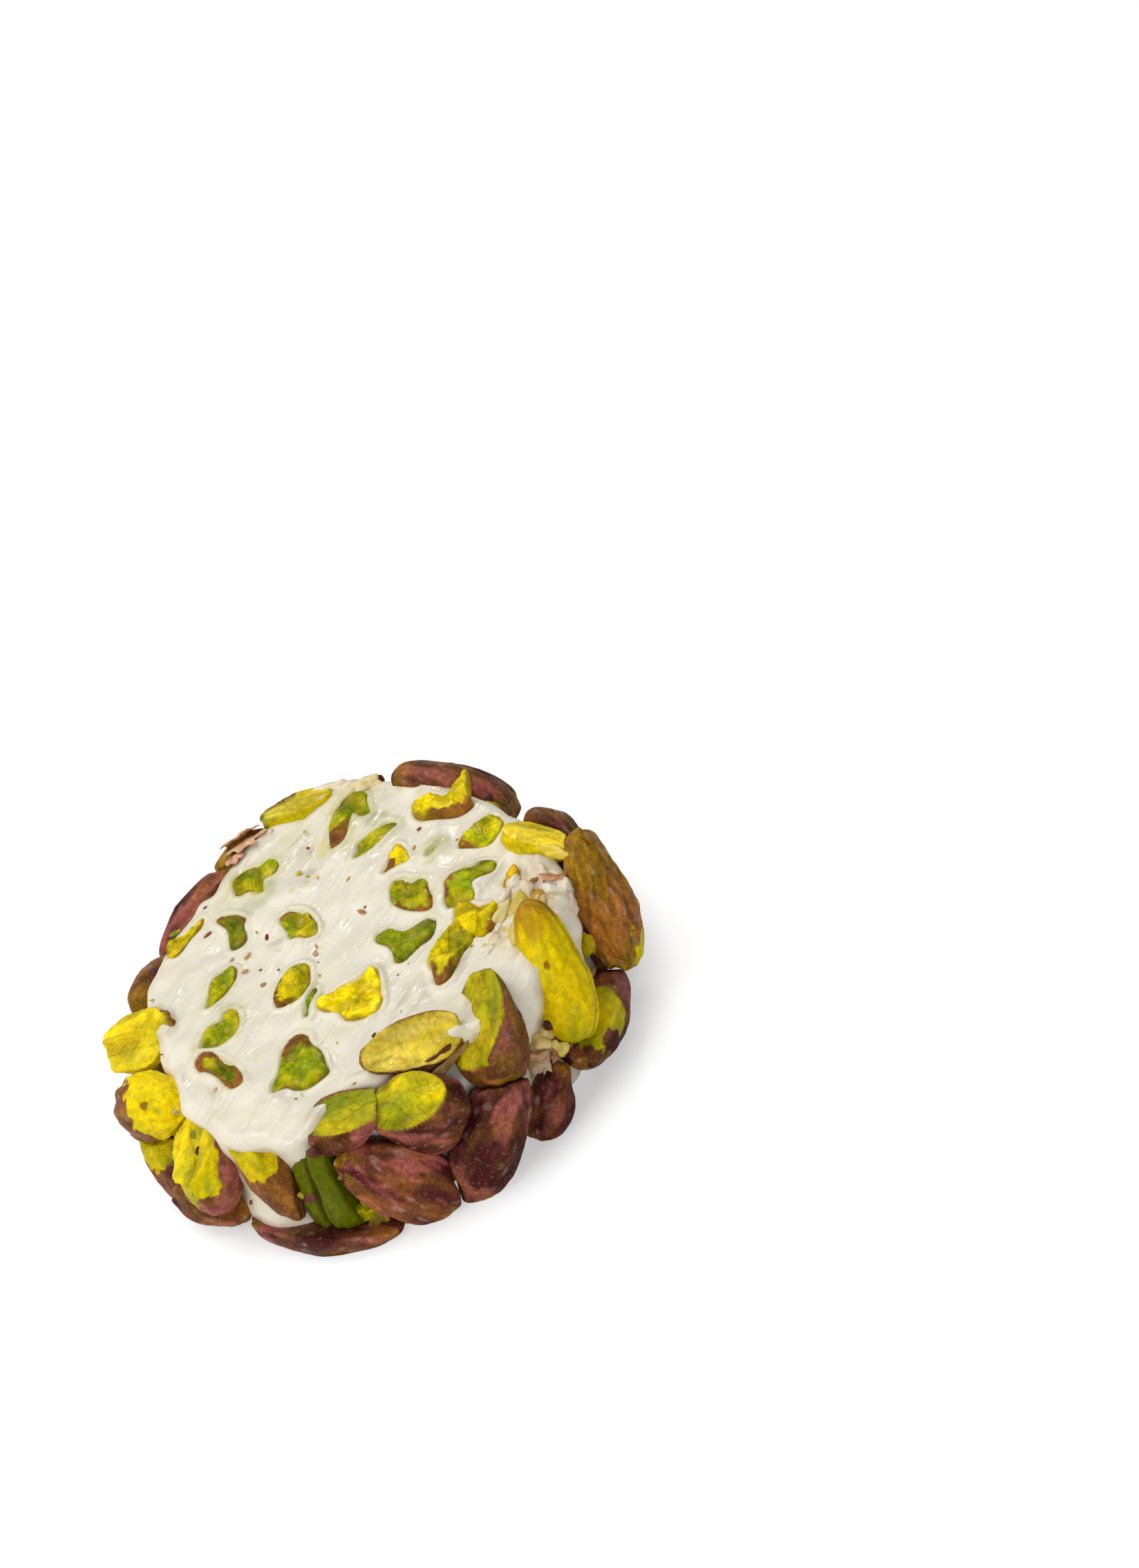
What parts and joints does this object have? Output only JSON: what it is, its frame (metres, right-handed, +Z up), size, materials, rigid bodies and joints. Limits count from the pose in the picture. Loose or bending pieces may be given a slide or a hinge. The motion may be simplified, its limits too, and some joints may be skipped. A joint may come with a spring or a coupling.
{
  "type": "nougat bar slice",
  "caption": "Thick round slice of white nougat with chopped pistachios through it, its rim rolled in whole pistachio kernels, lying flat with a cut face up.",
  "frame": {"origin": "under the middle of the slice, on the table", "axes": "+Z up through the slice from its back face to its shown face; +X and +Y lie in the table, with the camera's side at -Y"},
  "size_m": [0.066, 0.0674, 0.0199],
  "materials": {
    "nougat": "soft, slightly moist",
    "kernel_skin": "thin dry papery skin",
    "kernel_flesh": "dry cut or peeled nut"
  },
  "bodies": {
    "root": {"kernel_01": "kernel_flesh", "kernel_02": "kernel_flesh", "kernel_03": "kernel_flesh", "kernel_04": "kernel_skin", "kernel_05": "kernel_skin", "kernel_06": "kernel_skin", "kernel_07": "kernel_flesh", "kernel_08": "kernel_flesh", "kernel_09": "kernel_skin", "kernel_10": "kernel_skin", "kernel_11": "kernel_flesh", "kernel_12": "kernel_flesh", "kernel_13": "kernel_skin", "kernel_14": "kernel_skin", "kernel_15": "kernel_skin", "kernel_16": "kernel_skin", "kernel_17": "kernel_skin", "kernel_18": "kernel_skin", "kernel_19": "kernel_flesh", "kernel_20": "kernel_skin", "kernel_21": "kernel_skin", "kernel_22": "kernel_flesh", "kernel_23": "kernel_skin", "kernel_24": "kernel_skin", "kernel_25": "kernel_skin", "kernel_26": "kernel_skin", "kernel_27": "kernel_skin", "kernel_28": "kernel_skin", "kernel_29": "kernel_skin", "kernel_30": "kernel_skin", "kernel_31": "kernel_skin", "kernel_32": "kernel_skin", "kernel_33": "kernel_skin", "kernel_34": "kernel_skin", "kernel_35": "kernel_skin", "nougat": "nougat"}
  },
  "joints": []
}
